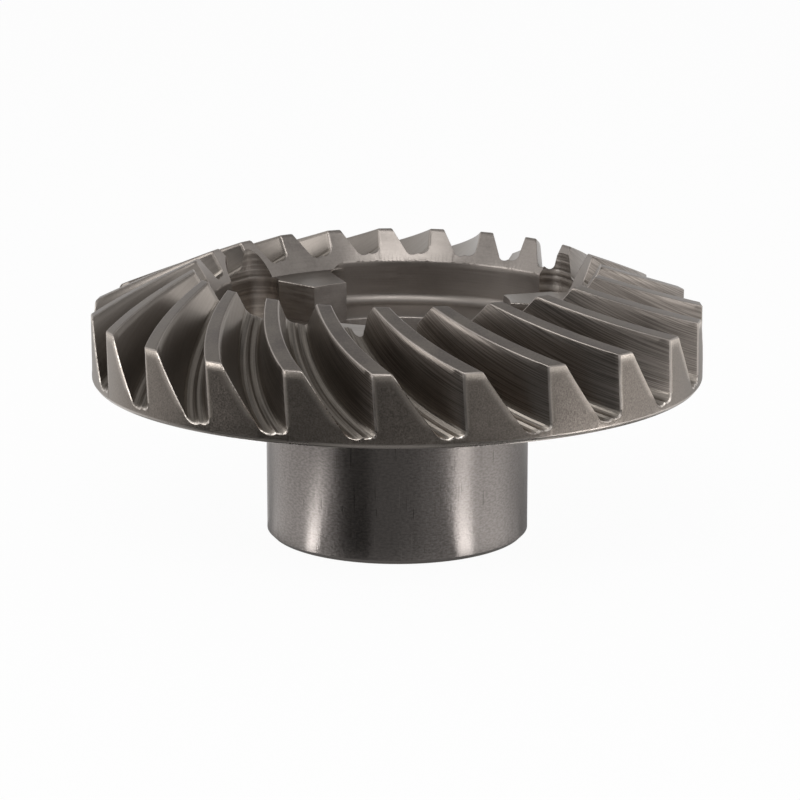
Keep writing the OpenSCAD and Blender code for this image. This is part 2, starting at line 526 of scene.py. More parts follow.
@dataclass
class ToothRing:
    """The ring of spiral teeth, with every edge broken as a brush leaves it."""

    blank: Blank
    mill: FaceMill
    heel_break: float = 0.15
    toe_break: float = 0.1
    tip_break: float = 0.1
    land_inset: float = 1.3
    ragged: float = 0.3
    ragged_range: tuple[float, float] = (-0.5, 0.3)
    seed: int = 7
    along: int = 41
    flank_rows: int = 8
    face_columns: int = 12

    def _solve(self, side: Side, u: Array, v: Array, heel: float, toe: float, tip: float) -> Array:
        """Finds points on a flank.

        Args:
            side: The side of the gap.
            u: Share of the way from heel to toe.
            v: Share of the way from the flank's foot to the tooth's tip.
            heel: Distance kept from the heel at u = 0.
            toe: Distance kept from the toe at u = 1.
            tip: Distance kept from the tip at v = 1.

        Returns:
            The points, for a gap in the direction of X.
        """
        u, v = np.broadcast_arrays(u, v)
        foot = self.mill.foot_h(side)
        turn, height = FIRST_TURN - TURN_SPAN * u, foot + FIRST_RISE * v

        def miss(turn: Array, height: Array) -> tuple[Array, Array]:
            """Says how far a guess lies from where it should be, along and up the flank."""
            points = self.mill.place(self.mill.offset(side, height), height, turn)
            along = (1 - u) * (self.blank.inside_heel(points) - heel) - u * (self.blank.outside_toe(points) - toe)
            return along, (1 - v) * (height - foot) - v * (self.blank.below_face(points) - tip)

        for _ in range(ROUNDS):
            a, b = miss(turn, height)
            at, bt = ((m - n) / TEST_STEP for m, n in zip(miss(turn + TEST_STEP, height), (a, b)))
            ah, bh = ((m - n) / TEST_STEP for m, n in zip(miss(turn, height + TEST_STEP), (a, b)))
            scale = at * bh - ah * bt
            turn = turn - np.clip((a * bh - b * ah) / scale, -LONGEST_TURN, LONGEST_TURN)
            height = height - np.clip((b * at - a * bt) / scale, -LONGEST_RISE, LONGEST_RISE)
        return self.mill.place(self.mill.offset(side, height), height, turn)

    def _solve_root(self, u: Array, heel: float, toe: float) -> Array:
        """Finds points on the root.

        Args:
            u: Share of the way from heel to toe.
            heel: Distance kept from the heel at u = 0.
            toe: Distance kept from the toe at u = 1.

        Returns:
            The points, for a gap in the direction of X.
        """
        section = self.mill.root_section()
        offset, height = section[None, :, 0], section[None, :, 1]
        u = u + 0 * offset
        turn = FIRST_TURN - TURN_SPAN * u

        def miss(turn: Array) -> Array:
            """Says how far a guess lies from where it should be along the root."""
            points = self.mill.place(offset, height, turn)
            return (1 - u) * (self.blank.inside_heel(points) - heel) - u * (self.blank.outside_toe(points) - toe)

        for _ in range(ROUNDS):
            here = miss(turn)
            turn = turn - np.clip(here * TEST_STEP / (miss(turn + TEST_STEP) - here), -LONGEST_TURN, LONGEST_TURN)
        return self.mill.place(offset + 0 * turn, height + 0 * turn, turn)

    def gap_rows(self, u: Array, heel: float, toe: float) -> Array:
        """Finds rows of points across a whole gap, from the inside flank's tip to the outside flank's tip.

        Args:
            u: Share of the way from heel to toe, for each row.
            heel: Distance kept from the heel at u = 0.
            toe: Distance kept from the toe at u = 1.

        Returns:
            The points, row by row.
        """
        u = np.asarray(u, float)[:, None]
        v = np.linspace(0, 1, self.flank_rows)[None, 1:]
        inside, outside = (self._solve(s, u, v, heel, toe, self.tip_break) for s in Side)
        return np.concatenate([inside[:, ::-1], self._solve_root(u, heel, toe), outside], axis=1)

    def _ease(self, chain: Array, normal: Array, width: float) -> Array:
        """Moves the outline of a gap into the metal of an end face.

        Args:
            chain: The outline's points.
            normal: The end face's direction at each point.
            width: How far the outline moves.

        Returns:
            The moved points.
        """
        tangent = np.gradient(chain, axis=0)
        away = np.cross(tangent, normal)
        away /= np.linalg.norm(away, axis=-1, keepdims=True)
        return chain + width * away * (-1 if away[len(chain) // 2, 2] > 0 else 1)

    def outline(self, heel: bool) -> Array:
        """Finds the edge of a gap on an end face, moved back by the width of the edge break.

        Args:
            heel: Whether the face is the heel's. If not, it is the toe's.

        Returns:
            The edge's points, from the inside flank's tip to the outside flank's tip.
        """
        if heel:
            chain = self.gap_rows(np.array([0.0]), 0.0, self.toe_break)[0]
            return self._ease(chain, upright(1.0, polar(chain)[1], 0.0), self.heel_break)
        chain = self.gap_rows(np.array([1.0]), self.heel_break, 0.0)[0]
        lean = math.radians(self.blank.toe_lean)
        return self._ease(chain, upright(-math.cos(lean), polar(chain)[1], math.sin(lean)), self.toe_break)

    def _face(self, shell: Shell, edge: Array, edge_ids: Array, surface: Surface) -> Array:
        """Covers the end faces of all teeth.

        Args:
            shell: The body that gets the faces.
            edge: The outline of each gap on the faces.
            edge_ids: The numbers of those points.
            surface: Whether these are the heels or the toes.

        Returns:
            The numbers of the points of each face, row by row from the tip to the flanks' feet.
        """
        rows = self.flank_rows
        left, right = edge[:, :rows], np.roll(edge, -1, axis=0)[:, :-rows - 1:-1]
        (r0, a0, z0), (r1, a1, z1) = polar(left), polar(right)
        a1 = a0 + (a1 - a0) % (2 * math.pi)
        share = np.linspace(0, 1, self.face_columns)[1:-1]
        inner = upright(*(p[..., None] + (q - p)[..., None] * share for p, q in ((r0, r1), (a0, a1), (z0, z1))))
        inner_ids = shell.add(inner)
        right_ids = np.roll(edge_ids, -1, axis=0)[:, :-rows - 1:-1]
        ids = np.concatenate([edge_ids[:, :rows, None], inner_ids, right_ids[..., None]], axis=2)
        shell.sheet(ids, surface)
        return ids

    def _lower_ring(self, edge_ids: Array, face_ids: Array) -> Array:
        """Gathers the ring of points under all gaps and teeth of an end face, in the order of their angles."""
        roots = edge_ids[:, self.flank_rows - 1:1 - self.flank_rows][:, ::-1]
        return np.concatenate([roots, face_ids[:, -1, 1:-1]], axis=1).reshape(-1)

    def build(self, shell: Shell) -> tuple[Array, Array]:
        """Adds the teeth to a body.

        Args:
            shell: The body that gets the teeth.

        Returns:
            The numbers of the rings of points below the heels and below the toes.
        """
        blank, noise = self.blank, np.random.default_rng(self.seed)
        angles = blank.gap_angles()
        u = np.linspace(0, 1, self.along)
        gaps = turned(self.gap_rows(u, self.heel_break, self.toe_break), angles)
        gap_ids = shell.add(gaps)
        rows = self.flank_rows
        shell.sheet(gap_ids[..., :rows], Surface.CONVEX)
        shell.sheet(gap_ids[..., rows - 1:1 - rows], Surface.ROOT)
        shell.sheet(gap_ids[..., -rows:], Surface.CONCAVE)

        tips = [self._solve(s, u, np.array(1.0), self.heel_break, self.toe_break, 0.0) for s in Side]
        radius, start, height = polar(tips[0])
        end = polar(tips[1])[1] + blank.pitch
        inset = self.land_inset * self.tip_break / radius
        share = np.linspace(0, 1, self.face_columns)
        across = (start + inset)[:, None] + (end - start - 2 * inset)[:, None] * share
        land_ids = shell.add(turned(upright(radius[:, None], across, height[:, None]), angles))
        shell.sheet(land_ids, Surface.LAND)
        next_gap = np.roll(gap_ids, -1, axis=0)
        shell.strip(gap_ids[..., 0], land_ids[..., 0], Surface.BREAK)
        shell.strip(next_gap[..., -1], land_ids[..., -1], Surface.BREAK)

        rings = []
        for end_row, surface in ((0, Surface.HEEL), (-1, Surface.TOE)):
            edge = turned(self.outline(surface is Surface.HEEL), angles)
            width = np.linalg.norm(edge - gaps[:, end_row], axis=-1, keepdims=True)
            away = (edge - gaps[:, end_row]) / width
            edge = edge + away * self.ragged * width * noise.uniform(*self.ragged_range, width.shape)
            edge_ids = shell.add(edge)
            face_ids = self._face(shell, edge, edge_ids, surface)
            burnished = Surface.EDGE if surface is Surface.HEEL else Surface.BREAK
            shell.strip(gap_ids[:, end_row, :rows], edge_ids[:, :rows], Surface.BREAK)
            shell.strip(gap_ids[:, end_row, rows - 1:], edge_ids[:, rows - 1:], burnished)
            shell.strip(land_ids[:, end_row], face_ids[:, 0], Surface.BREAK)
            for gap, column in ((gap_ids, 0), (next_gap, -1)):
                shell.polygons([gap[:, end_row, column], land_ids[:, end_row, column], face_ids[:, 0, column]],
                               Surface.BREAK)
            rings.append(self._lower_ring(edge_ids, face_ids))
        return rings[0], rings[1]


@dataclass
class HubAndBore:
    """The rest of the turned blank: the rim's underside, the journal, the bore and the tops of the dogs."""

    blank: Blank
    steps: int = 192
    corner: float = 0.06
    corner_share: float = 0.6
    foot_fillet: float = 0.25
    margin: float = 0.05
    support: float = 3.0

    def _profile(self) -> list[tuple[float, float, Surface]]:
        """Lists the corners of the section from the rim's underside to the dogs' tops.

        Returns:
            The radius and the height of each corner, and the surface that follows it.
        """
        b = self.blank
        return [
            (b.outer_r - self.support, b.rim_z, Surface.RIM),
            (b.hub_r + self.foot_fillet, b.rim_z, Surface.RIM),
            (b.hub_r, b.rim_z - self.foot_fillet, Surface.JOURNAL),
            (b.hub_r, b.rim_z / 2, Surface.JOURNAL),
            (b.hub_r, b.hub_chamfer, Surface.RIM),
            (b.hub_r - b.hub_chamfer, 0.0, Surface.RIM),
            (b.bore_r + b.bore_chamfer, 0.0, Surface.RIM),
            (b.bore_r, b.bore_chamfer, Surface.BORE),
            (b.bore_r, b.floor_z - self.support, Surface.BORE),
            (b.bore_r, b.dog_z - 2 * self.corner, Surface.BREAK),
            (b.bore_r + 2 * self.corner, b.dog_z, Surface.DOG),
            (b.dog_outer_r - self.support, b.dog_z, Surface.DOG),
        ]

    def build(self, shell: Shell, heel_ring: Array, toe_ring: Array) -> None:
        """Adds the turned faces to a body and closes it.

        Args:
            shell: The body that already has the teeth.
            heel_ring: Numbers of the ring of points below the heels.
            toe_ring: Numbers of the ring of points below the toes.
        """
        b = self.blank
        points = np.concatenate(shell.points)
        even = np.linspace(-math.pi, math.pi, self.steps, endpoint=False)
        eased = self.corner * self.corner_share
        edges: dict[str, Array] = {}
        for name, ring, section in (
            ("heel", heel_ring, (
                (b.outer_r, b.rim_z + b.rim_chamfer_h + self.corner, Surface.HEEL),
                (b.outer_r - eased, b.rim_z + b.rim_chamfer_h - self.corner, Surface.BREAK),
                (b.outer_r - b.rim_chamfer_w + eased, b.rim_z + self.corner, Surface.CHAMFER),
                (b.outer_r - b.rim_chamfer_w - self.corner, b.rim_z, Surface.BREAK),
            )),
            ("toe", toe_ring, ((b.dog_outer_r, b.dog_z, Surface.TOE),)),
        ):
            radius, angle, height = polar(points[ring])
            angle = np.unwrap(angle)
            lean = math.radians(b.toe_lean if name == "toe" else 0.0)
            inner = radius - self.margin * math.sin(lean)
            last = shell.add(upright(inner, angle, height - self.margin * math.cos(lean)))
            shell.strip(closed(ring), closed(last), section[0][2])
            for radius, height, surface in section:
                ids = shell.add(upright(radius, angle, height))
                shell.strip(closed(last), closed(ids), surface)
                last = ids
            edges[name], edges[name + "_angle"] = last, angle

        last, surface = None, Surface.RIM
        for radius, height, after in self._profile():
            ids = shell.add(upright(radius, even, height))
            if last is None:
                shell.join_rings((edges["heel"], edges["heel_angle"]), (ids, even), Surface.RIM)
            else:
                shell.strip(closed(last), closed(ids), surface)
            last, surface = ids, after
        shell.join_rings((edges["toe"], edges["toe_angle"]), (last, even), Surface.DOG)


@dataclass
class ClutchDogs:
    """The spaces that an end mill clears round the clutch dogs."""

    blank: Blank
    count: int = 3
    back_angle: float = 138.5
    span: float = 31.5
    drive_offset: float = 2.75
    recess_r: float = 24.4
    floor_fillet: float = 1.4
    mill_r: float = 2.5
    pocket_depth: float = 1.9
    pocket_lead: float = 3.4
    pocket_sweep: float = 9.3
    pocket_sink: float = 0.1
    edge_break: float = 0.12
    burr_w: float = 0.07
    start_r: float = 12.0
    through: float = 1.0
    mouth_drop: float = 3.0
    corner_points: int = 14
    wall_points: int = 72
    fillet_points: int = 7
    mill_points: int = 25
    sweep_points: int = 12

    def _plan(self, wall_r: float, ease: float, rounded: bool) -> Array:
        """Draws the space between the drive face of a dog, whose back face lies along x, and the next dog.

        Args:
            wall_r: Radius of the recess wall.
            ease: How far the two faces have moved back.
            rounded: Whether the end mill's radius is in the corner of the drive face.

        Returns:
            The plan's points in order, with the drive face first.
        """
        back = math.radians(self.span) - 2 * math.pi / self.count
        drive = self.drive_offset + ease
        mill = self.mill_r if rounded else 0.0
        middle = np.array([math.sqrt((wall_r - mill) ** 2 - (drive - mill) ** 2), drive - mill])
        wall_start = math.atan2(middle[1], middle[0])
        turns = np.linspace(math.pi / 2, wall_start, self.corner_points)
        corner = middle + mill * np.stack([np.cos(turns), np.sin(turns)], axis=-1)
        behind = np.array([math.sin(back), -math.cos(back)]) * ease
        wall_end = back - math.asin(ease / wall_r)
        wall = np.linspace(wall_start, wall_end, self.wall_points)[1:]
        arc = wall_r * np.stack([np.cos(wall), np.sin(wall)], axis=-1)
        last = self.start_r * np.array([math.cos(back), math.sin(back)]) + behind
        turn = -math.radians(self.span)
        spin = np.array([[math.cos(turn), math.sin(turn)], [-math.sin(turn), math.cos(turn)]])
        return np.concatenate([[[self.start_r, drive]], corner if rounded else corner[:1], arc, [last]]) @ spin

    def _stack(self, levels: list[tuple[Array, float]], sides: list[Surface], floor: Surface, name: str,
               eased: dict[tuple[int, Surface], Surface] | None = None) -> bpy.types.Object:
        """Builds a cutter from one plan at several heights, copied for every dog.

        Args:
            levels: Plans of equally many points and their heights, from the lowest up.
            sides: The surface that each side of the plan cuts, in the order of the points.
            floor: The surface that the lowest plan cuts.
            name: The cutter's name.
            eased: What a surface turns into between one level and the next, where its edge is broken.

        Returns:
            The cutter.
        """
        shell = Shell()
        turns = math.radians(self.back_angle) + 2 * math.pi / self.count * np.arange(self.count)
        stack = np.stack([np.column_stack([plan, np.full(len(plan), z)]) for plan, z in levels])
        ids = shell.add(turned(stack, turns))
        for copy in ids:
            for i, surface in enumerate(sides):
                j = (i + 1) % copy.shape[1]
                for k in range(len(levels) - 1):
                    shell.strip(copy[k:k + 2, i], copy[k:k + 2, j], (eased or {}).get((k, surface), surface))
            for ring, surface in ((copy[0], floor), (copy[-1], Surface.DISH)):
                shell.faces.append(tuple(int(i) for i in ring))
                shell.surfaces.append(surface.value)
        cutter = bpy.data.objects.new(name, shell.mesh(name))
        bpy.context.scene.collection.objects.link(cutter)
        return cutter

    def space_cutter(self) -> bpy.types.Object:
        """Builds the cutter of the recess between the dogs, with the fillet at the wall's foot.

        Returns:
            The cutter.
        """
        b = self.blank
        levels = []
        for angle in np.linspace(0, math.pi / 2, self.fillet_points):
            wall = self.recess_r - self.floor_fillet * (1 - math.sin(angle))
            levels.append((self._plan(wall, 0.0, True), b.floor_z + self.floor_fillet * (1 - math.cos(angle))))
        dog_top = len(levels)
        levels.append((self._plan(self.recess_r, 0.0, True), b.dog_z - self.edge_break))
        levels.append((self._plan(self.recess_r, self.edge_break, True), b.dog_z))
        recess_top = len(levels)
        lean = math.tan(math.radians(b.toe_lean))
        wall_top = b.toe_z - (b.toe_r - self.recess_r) / lean
        for shift, z in ((0.0, wall_top - 2 * self.burr_w), (self.burr_w, wall_top + self.burr_w / lean),
                         (self.burr_w, b.toe_z + self.through)):
            levels.append((self._plan(self.recess_r + shift, self.edge_break, True), z))
        sides = [Surface.DOG] * self.corner_points + [Surface.DISH] * (self.wall_points - 1) + [Surface.DOG] * 2
        eased = {(dog_top, Surface.DOG): Surface.EDGE, (recess_top, Surface.DISH): Surface.BREAK}
        return self._stack(levels, sides, Surface.DISH, "recess_cutter", eased)

    def mouth_cutter(self) -> bpy.types.Object:
        """Builds the cutter of the chamfer where the floor meets the bore.

        Returns:
            The cutter.
        """
        b = self.blank
        levels = [
            (self._plan(b.bore_r + b.bore_chamfer + shift, 0.0, False), b.floor_z + shift)
            for shift in (-self.mouth_drop * b.bore_chamfer, b.bore_chamfer)
        ]
        sides = [Surface.DOG] + [Surface.BREAK] * (self.wall_points - 1) + [Surface.DOG] * 2
        return self._stack(levels, sides, Surface.BORE, "mouth_cutter")

    def pocket_cutter(self) -> bpy.types.Object:
        """Builds the cutter of the relief pocket behind each dog.

        Returns:
            The cutter.
        """
        b = self.blank
        path_r = self.recess_r + self.pocket_depth - self.mill_r
        lead, sweep = math.radians(self.pocket_lead), math.radians(self.pocket_sweep)
        half = np.linspace(-math.pi, 0, self.mill_points)
        ends = []
        for angle, turns in ((lead, half), (lead + sweep, half + math.pi)):
            middle = path_r * np.array([math.cos(angle), math.sin(angle)])
            ends.append(middle + self.mill_r * np.stack([np.cos(turns + angle), np.sin(turns + angle)], axis=-1))
        arcs = []
        for radius, way in ((path_r + self.mill_r, (0, 1)), (path_r - self.mill_r, (1, 0))):
            angle = lead + sweep * np.linspace(*way, self.sweep_points)[1:-1]
            arcs.append(radius * np.stack([np.cos(angle), np.sin(angle)], axis=-1))
        plan = np.concatenate([ends[0], arcs[0], ends[1], arcs[1]])
        levels = [(plan, b.floor_z - self.pocket_sink), (plan, b.toe_z + self.through)]
        return self._stack(levels, [Surface.POCKET] * len(plan), Surface.POCKET, "pocket_cutter")


def apply_modifiers(piece: bpy.types.Object) -> None:
    """Carries out an object's modifiers on its mesh and takes them off.

    Args:
        piece: The object.
    """
    graph = bpy.context.evaluated_depsgraph_get()
    mesh = bpy.data.meshes.new_from_object(piece.evaluated_get(graph), preserve_all_data_layers=True, depsgraph=graph)
    piece.modifiers.clear()
    piece.data = mesh


def cut_away(piece: bpy.types.Object, cutter: bpy.types.Object) -> None:
    """Cuts one body out of another and removes the cutter.

    Args:
        piece: The body that is cut.
        cutter: The body that is taken away.
    """
    modifier = piece.modifiers.new("cut", "BOOLEAN")
    modifier.operation, modifier.solver, modifier.object = "DIFFERENCE", "MANIFOLD", cutter
    modifier.material_mode = "INDEX"
    apply_modifiers(piece)
    LOG.info("%s: %d faces left", cutter.name, len(piece.data.polygons))
    bpy.data.objects.remove(cutter)


@dataclass(frozen=True)
class SteelFinish:
    """A machined finish of the gear's case-hardened steel.

    The tones are those of the metal itself. Grit, clouds and tool marks shift it from tone to light.
    """

    name: str
    tone: str
    light: str
    roughness: float
    grit_mm: float = 0.3
    grit_share: float = 0.5
    cloud_mm: float = 4.0
    marks_mm: tuple[float, float] = (6.0, 0.25)
    marks_share: float = 0.3
    contrast: float = 0.5
    marks_height_mm: float = 0.004
    grit_height_mm: float = 0.003
    roughness_spread: float = 0.08
    anisotropy: float = 0.0

    def lighter(self, tree: Tree, share: Socket, grit: Socket) -> Socket:
        """Gives the share of the lighter tone, from the share that the pattern asks for and the grit."""
        return share

    def make(self) -> bpy.types.Material:
        """Builds the material.

        Returns:
            The material, whose patterns are sized in millimetres.
        """
        made = empty_material(self.name)
        tree = made.node_tree
        place = node(tree, "ShaderNodeTexCoord")
        mm = node(tree, "ShaderNodeVectorMath", {0: place.outputs["Object"], "Scale": 1 / MM}, operation="SCALE")
        grit = grain(tree, mm.outputs[0], 1 / self.grit_mm, GRIT_DETAIL)
        cloud = grain(tree, mm.outputs[0], 1 / self.cloud_mm, CLOUD_DETAIL)
        marks = tool_lines(tree, self.marks_mm, MARKS_DETAIL)
        soft = node(tree, "ShaderNodeMix", {"Factor": self.grit_share, "A": cloud, "B": grit})
        mixed = node(tree, "ShaderNodeMix", {"Factor": self.marks_share, "A": soft.outputs[0], "B": marks})
        usual = (NOISE_LOW, NOISE_HIGH)
        spread = ranged(tree, mixed.outputs[0], usual, (0.5 - self.contrast, 0.5 + self.contrast))
        share = self.lighter(tree, spread, grit)
        colour = node(tree, "ShaderNodeMix", {0: share, 6: linear(self.tone), 7: linear(self.light)}, data_type="RGBA")
        rough = ranged(tree, mixed.outputs[0], usual,
                       (self.roughness - self.roughness_spread, self.roughness + self.roughness_spread))
        fine = node(tree, "ShaderNodeBump", {
            "Height": grit, "Distance": self.grit_height_mm * MM, "Strength": 1.0})
        cut = node(tree, "ShaderNodeBump", {
            "Height": marks, "Distance": self.marks_height_mm * MM, "Strength": 1.0,
            "Normal": fine.outputs[0]})
        steel = node(tree, "ShaderNodeBsdfPrincipled", {
            "Base Color": colour.outputs[2], "Metallic": 1.0, "Roughness": rough,
            "Normal": cut.outputs[0], "Anisotropic": self.anisotropy, "Anisotropic Rotation": LINES_ROUND})
        if self.anisotropy:
            turning = node(tree, "ShaderNodeTangent", direction_type="RADIAL", axis="Z")
            tree.links.new(turning.outputs[0], steel.inputs["Tangent"])
        node(tree, "ShaderNodeOutputMaterial", {"Surface": steel.outputs[0]})
        return made


@dataclass(frozen=True)
class BrushedHeel(SteelFinish):
    """A turned heel face whose outline was brushed, which leaves a lighter speckled band along it."""

    left_mm: float = 0.4
    right_mm: float = 0.9
    top_mm: float = 1.5
    foot_round: float = 0.3
    top_round: float = 0.6
    full_at: float = 0.1
    speckle: float = 0.9
    faint: float = 0.35

    def lighter(self, tree: Tree, share: Socket, grit: Socket) -> Socket:
        """Adds the brushed band to the share of the lighter tone.

        Args:
            tree: The material's nodes.
            share: The share that the pattern asks for.
            grit: The grit, which breaks the band up.

        Returns:
            The share with the band.
        """
        outline = node(tree, "ShaderNodeAttribute", attribute_name=OUTLINE)
        widths = (1 / self.left_mm, 1 / self.right_mm, 1 / self.top_mm)
        scaled = node(tree, "ShaderNodeVectorMath", {0: outline.outputs["Vector"], 1: widths}, operation="MULTIPLY")
        parts = node(tree, "ShaderNodeSeparateXYZ", {0: scaled.outputs[0]})
        sides = maths(tree, "SMOOTH_MIN", parts.outputs[0], parts.outputs[1], self.foot_round)
        edge = maths(tree, "SMOOTH_MIN", sides, parts.outputs[2], self.top_round)
        broken = maths(tree, "MULTIPLY_ADD", grit, self.speckle, edge)
        half = self.speckle / 2
        band = ranged(tree, broken, (1.0 + half, self.full_at + half), (0.0, 1.0))
        return maths(tree, "MAXIMUM", maths(tree, "MULTIPLY", share, self.faint), band)


@dataclass(frozen=True)
class ScratchedJournal(SteelFinish):
    """A ground journal that was pushed in and out of its bearing.

    That left a few dark and a few light scratches along the axis.
    """

    scratch_mm: tuple[float, float] = (0.2, 6.0)
    scratch_from: float = 0.76
    scratch_soft: float = 0.06
    scratch_light: float = 0.3
    ground: float = 0.55
    uneven: float = 0.35

    def lighter(self, tree: Tree, share: Socket, grit: Socket) -> Socket:
        """Adds the scratches to the share of the lighter tone.

        Args:
            tree: The material's nodes.
            share: The share that the pattern asks for.
            grit: The grit, which is not used.

        Returns:
            The share with a few dark and a few light scratches.
        """
        lines = tool_lines(tree, self.scratch_mm, SCRATCH_DETAIL)
        even = maths(tree, "MULTIPLY_ADD", share, self.uneven, self.ground)
        low, high = 1 - self.scratch_from, self.scratch_from
        light = ranged(tree, lines, (low, low - self.scratch_soft), (0.0, self.scratch_light))
        dark = ranged(tree, lines, (high, high + self.scratch_soft), (1.0, 0.0))
        return maths(tree, "MINIMUM", maths(tree, "ADD", even, light), dark)


# The lines and the grit of real tools are finer than a pixel of the photo. Where a comment below says so, they are
# drawn coarser or taller than they are, so that they show.
FINISHES: dict[Surface, SteelFinish] = {
    # Turned tooth tips: an even mid grey with fine grit and no direction.
    Surface.LAND: SteelFinish("steel_turned_tooth_tips", "#857e7a", "#979089", 0.45, grit_mm=0.25, marks_share=0.1,
                              contrast=0.8),
    # Convex flanks, milled by the inside of the mill: dark and half glossy, with fine lines along the tooth.
    # The lines are drawn coarser.
    Surface.CONVEX: SteelFinish("steel_milled_convex_flanks", "#706963", "#958d86", 0.34, marks_mm=(12.0, 0.2),
                               marks_share=0.85, contrast=0.6, marks_height_mm=0.003, roughness_spread=0.025),
    # Concave flanks, milled by the outside of the mill: smooth, so they shine evenly. Their tone is lighter than the
    # convex flanks', partly a painted reflection that stands in for the brighter light these flanks mirror. Their
    # faint lines are drawn coarser.
    Surface.CONCAVE: SteelFinish("steel_milled_concave_flanks_painted_reflection", "#857e78", "#979089", 0.34, marks_mm=(10.0, 0.3),
                                marks_share=0.6, contrast=0.25, marks_height_mm=0.001, grit_height_mm=0.001,
                                roughness_spread=0.01),
    # Milled roots: lighter than the flanks, with lines along the grooves, which are drawn coarser.
    Surface.ROOT: SteelFinish("steel_milled_roots", "#7d7771", "#a0988f", 0.38, marks_mm=(14.0, 0.16),
                              marks_share=0.7, contrast=0.6, marks_height_mm=0.006),
    # Turned heel ends: satin grey, lighter and speckled where their outline was brushed. The speckle is drawn
    # coarser and taller.
    Surface.HEEL: BrushedHeel("steel_turned_heels_brushed_edge", "#7c746d", "#c4bab0", 0.37, grit_mm=0.2,
                              grit_share=0.9, marks_share=0.0, contrast=0.45, grit_height_mm=0.006),
    # Turned toe ends: light, smooth and slightly cloudy.
    Surface.TOE: SteelFinish("steel_turned_toes", "#8e8782", "#a09993", 0.38, cloud_mm=3.0, marks_share=0.2),
    # Burred heel edges: thin bright lines that catch the light, broken up by grit that is drawn coarser.
    Surface.EDGE: SteelFinish("steel_burnished_burrs", "#948c85", "#dcd4cc", 0.3, grit_mm=0.35, marks_share=0.0,
                              contrast=0.9, grit_height_mm=0.006),
    # Turned rim underside and hub end: an even satin grey with faint lines round the axis, drawn coarser.
    Surface.RIM: SteelFinish("steel_turned_rim", "#8d8682", "#99928d", 0.38, marks_mm=(14.0, 0.2), marks_share=0.5),
    # Ground journal: its fine lines go round, so what it mirrors is drawn out up and down. Its upright highlight
    # streaks are painted by bright cards on the floor, and the grain crinkles them. The crinkle and the scratches are
    # drawn coarser and taller.
    Surface.JOURNAL: ScratchedJournal("steel_ground_journal", "#4a4643", "#a69f9b", 0.38, marks_mm=(0.5, 0.25),
                                      marks_share=0.9, contrast=0.5, anisotropy=0.9, roughness_spread=0.05,
                                      marks_height_mm=0.015, grit_mm=0.3, grit_height_mm=0.012),
    # Honed bore: smoother than the turned faces, with faint lines that are drawn coarser. Its brighter tone is partly
    # a painted highlight, standing in for a bright reflection on its far wall.
    Surface.BORE: SteelFinish("steel_honed_bore_painted_highlight", "#a8a29e", "#bbb5b0", 0.4, marks_mm=(10.0, 0.2),
                              grit_height_mm=0.001),
    # Turned dish: a dark satin wall with faint lines round it, drawn coarser.
    Surface.DISH: SteelFinish("steel_turned_dish", "#908984", "#9a938d", 0.43, marks_mm=(14.0, 0.16), marks_share=0.5,
                              marks_height_mm=0.002, grit_height_mm=0.001),
    # Milled dog faces: satin grey with level ridges on the upright sides, which are drawn taller.
    Surface.DOG: SteelFinish("steel_milled_dogs", "#8e8781", "#9b948e", 0.4, marks_mm=(12.0, 0.45),
                             marks_share=0.6, contrast=0.7, marks_height_mm=0.03, grit_height_mm=0.001),
    # Milled pockets: the end mill's steps show as level ridges on the round wall, drawn taller. Their light tone is
    # partly painted light: it lifts the wall out of the recess's shade, standing in for the bright band that light
    # draws on it.
    Surface.POCKET: SteelFinish("steel_milled_pockets_painted_light", "#a8a19b", "#c8c1ba", 0.36, marks_mm=(40.0, 0.6),
                                marks_share=0.8, contrast=0.8, marks_height_mm=0.06, grit_height_mm=0.001),
    # Brushed edges and chamfers: a little lighter than the faces beside them.
    Surface.BREAK: SteelFinish("steel_brushed_edges", "#a19993", "#b8b0a9", 0.42, grit_mm=0.3, marks_share=0.0),
    # Rim chamfer: a narrow light line round the lower edge. Its lighter tone is a painted highlight, standing in for
    # the light that the chamfer mirrors.
    Surface.CHAMFER: SteelFinish("steel_rim_chamfer_painted_highlight", "#a8a099", "#b8b0a8", 0.3, marks_share=0.2),
}


